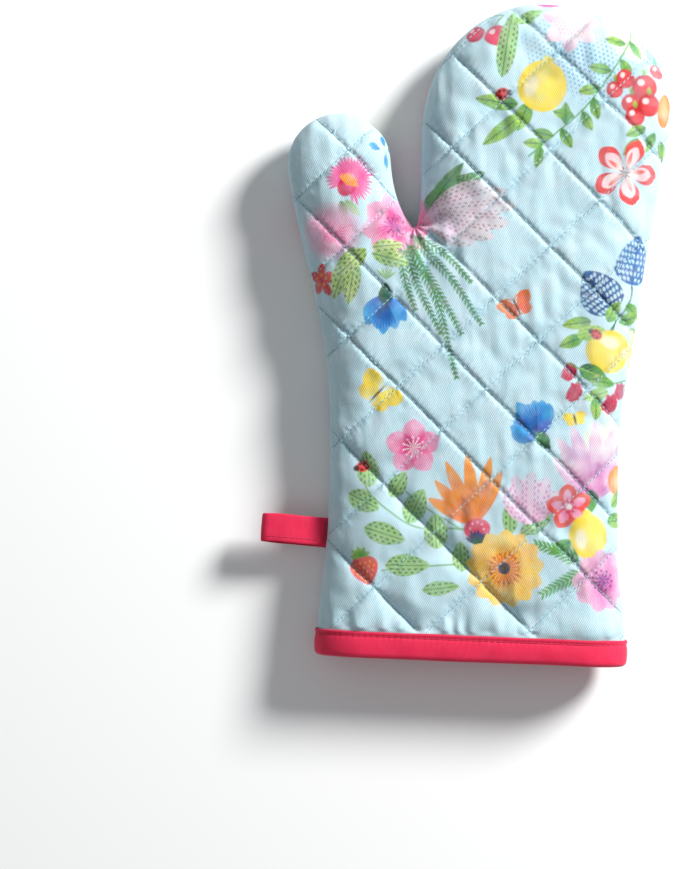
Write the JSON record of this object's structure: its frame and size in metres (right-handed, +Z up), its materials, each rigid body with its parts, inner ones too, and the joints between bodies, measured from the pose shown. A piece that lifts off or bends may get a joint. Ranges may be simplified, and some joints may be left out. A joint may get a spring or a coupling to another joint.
{
  "type": "oven mitt",
  "caption": "Quilted one-thumb oven mitt lying flat, open at a cuff bound in red tape, with a red hanging loop in the side seam.",
  "frame": {"origin": "bottom centre of the mitt's box, on the surface that its back panel lies on", "axes": "+Y from the hem to the fingertips, +X away from the thumb, +Z up through the front panel"},
  "size_m": [0.1972, 0.33, 0.0363],
  "materials": {
    "printed_cotton": "matt cotton twill, printed",
    "batting": "soft fibre filling",
    "lining": "matt plain cotton",
    "red_twill": "matt twill tape",
    "blue_thread": "sewing thread",
    "red_thread": "sewing thread",
    "white_thread": "sewing thread"
  },
  "bodies": {
    "mitt": {"front_shell": "printed_cotton", "back_shell": "printed_cotton", "front_batting": "batting", "back_batting": "batting", "front_lining": "lining", "back_lining": "lining", "front_quilting_thread": "blue_thread", "back_quilting_thread": "blue_thread", "seam_allowance": "lining", "side_seam_thread": "white_thread", "cuff_binding": "red_twill", "binding_stitch_outer": "red_thread", "binding_stitch_inner": "red_thread"},
    "loop": {"hanging_loop": "red_twill", "loop_edge_stitch": "red_thread", "loop_tack_upper": "red_thread", "loop_tack_lower": "red_thread"}
  },
  "joints": [
    {"name": "loop_swing", "type": "hinge", "parent": "mitt", "child": "loop", "pos_m": [-0.06685, -0.1035, 0.01815], "axis": [0, 1, 0], "range_deg": [-70, 70], "stiffness_Nm_per_rad": 0.002}
  ]
}
